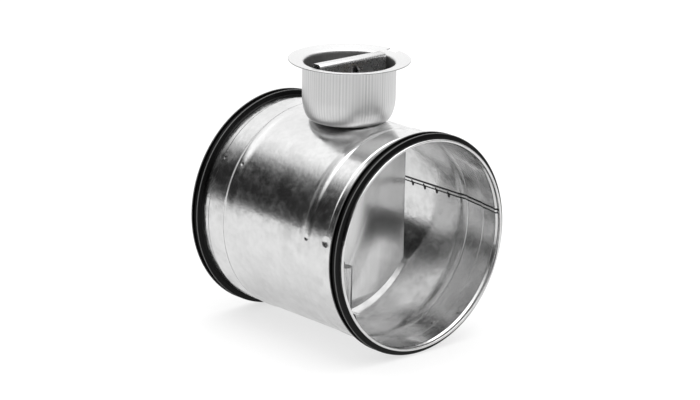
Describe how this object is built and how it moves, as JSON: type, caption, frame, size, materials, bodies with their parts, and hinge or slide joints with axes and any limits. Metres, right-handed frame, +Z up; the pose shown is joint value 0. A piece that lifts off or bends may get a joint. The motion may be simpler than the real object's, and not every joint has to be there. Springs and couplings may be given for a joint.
{
  "type": "regulating damper",
  "caption": "Round duct regulating damper: sheet casing with lip gaskets, a flat blade on half shafts, and a handle bar sunk in an insulation cup.",
  "frame": {"origin": "centre of the duct casing's rear end face, on the duct axis", "axes": "+X along the duct from the rear end face to the front end face, +Z up along the blade shaft to the handle"},
  "size_m": [0.1325, 0.1302, 0.1627],
  "materials": {
    "galvanised_sheet": "hot-dip galvanised sheet, bright, faint spangle",
    "blade_sheet": "hot-dip galvanised flat sheet, near mirror",
    "drawn_cup_sheet": "deep-drawn sheet, light satin",
    "handle_sheet": "folded galvanised sheet",
    "gasket_rubber": "extruded EPDM rubber, semi-matt",
    "rivet_steel": "zinc-plated rivet",
    "bush_brass": "turned brass",
    "bush_plastic": "moulded nylon",
    "spring_steel": "spring steel",
    "plated_steel": "bright zinc-plated steel",
    "shaft_steel": "drawn steel rod, zinc-plated"
  },
  "bodies": {
    "housing": {"casing": "galvanised_sheet", "rear_gasket": "gasket_rubber", "front_gasket": "gasket_rubber", "cup": "drawn_cup_sheet", "cup_seal": "gasket_rubber", "cup_rivets": "rivet_steel", "upper_bush": "bush_brass", "bush_nut": "bush_brass", "lower_bush": "bush_plastic", "lower_clip": "spring_steel", "friction_washer": "bush_plastic", "lock_stud": "plated_steel", "lock_washer": "plated_steel"},
    "blade_assembly": {"blade": "blade_sheet", "upper_shaft": "shaft_steel", "lower_shaft": "shaft_steel", "upper_shaft_rivets": "rivet_steel", "lower_shaft_rivets": "rivet_steel", "shaft_seal": "gasket_rubber", "quadrant": "plated_steel", "handle_bar": "handle_sheet", "handle_pin": "plated_steel"},
    "lock_nut": {"lock_nut": "plated_steel"}
  },
  "joints": [
    {"name": "blade_turn", "type": "hinge", "parent": "housing", "child": "blade_assembly", "pos_m": [0.06625, 0, 0], "axis": [0, 0, 1], "range_deg": [-88.5, 1.5]},
    {"name": "lock_nut_turn", "type": "hinge", "parent": "housing", "child": "lock_nut", "pos_m": [0.05579, -0.01047, 0.0742], "axis": [0, 0, 1], "range_deg": [0, 180]}
  ]
}
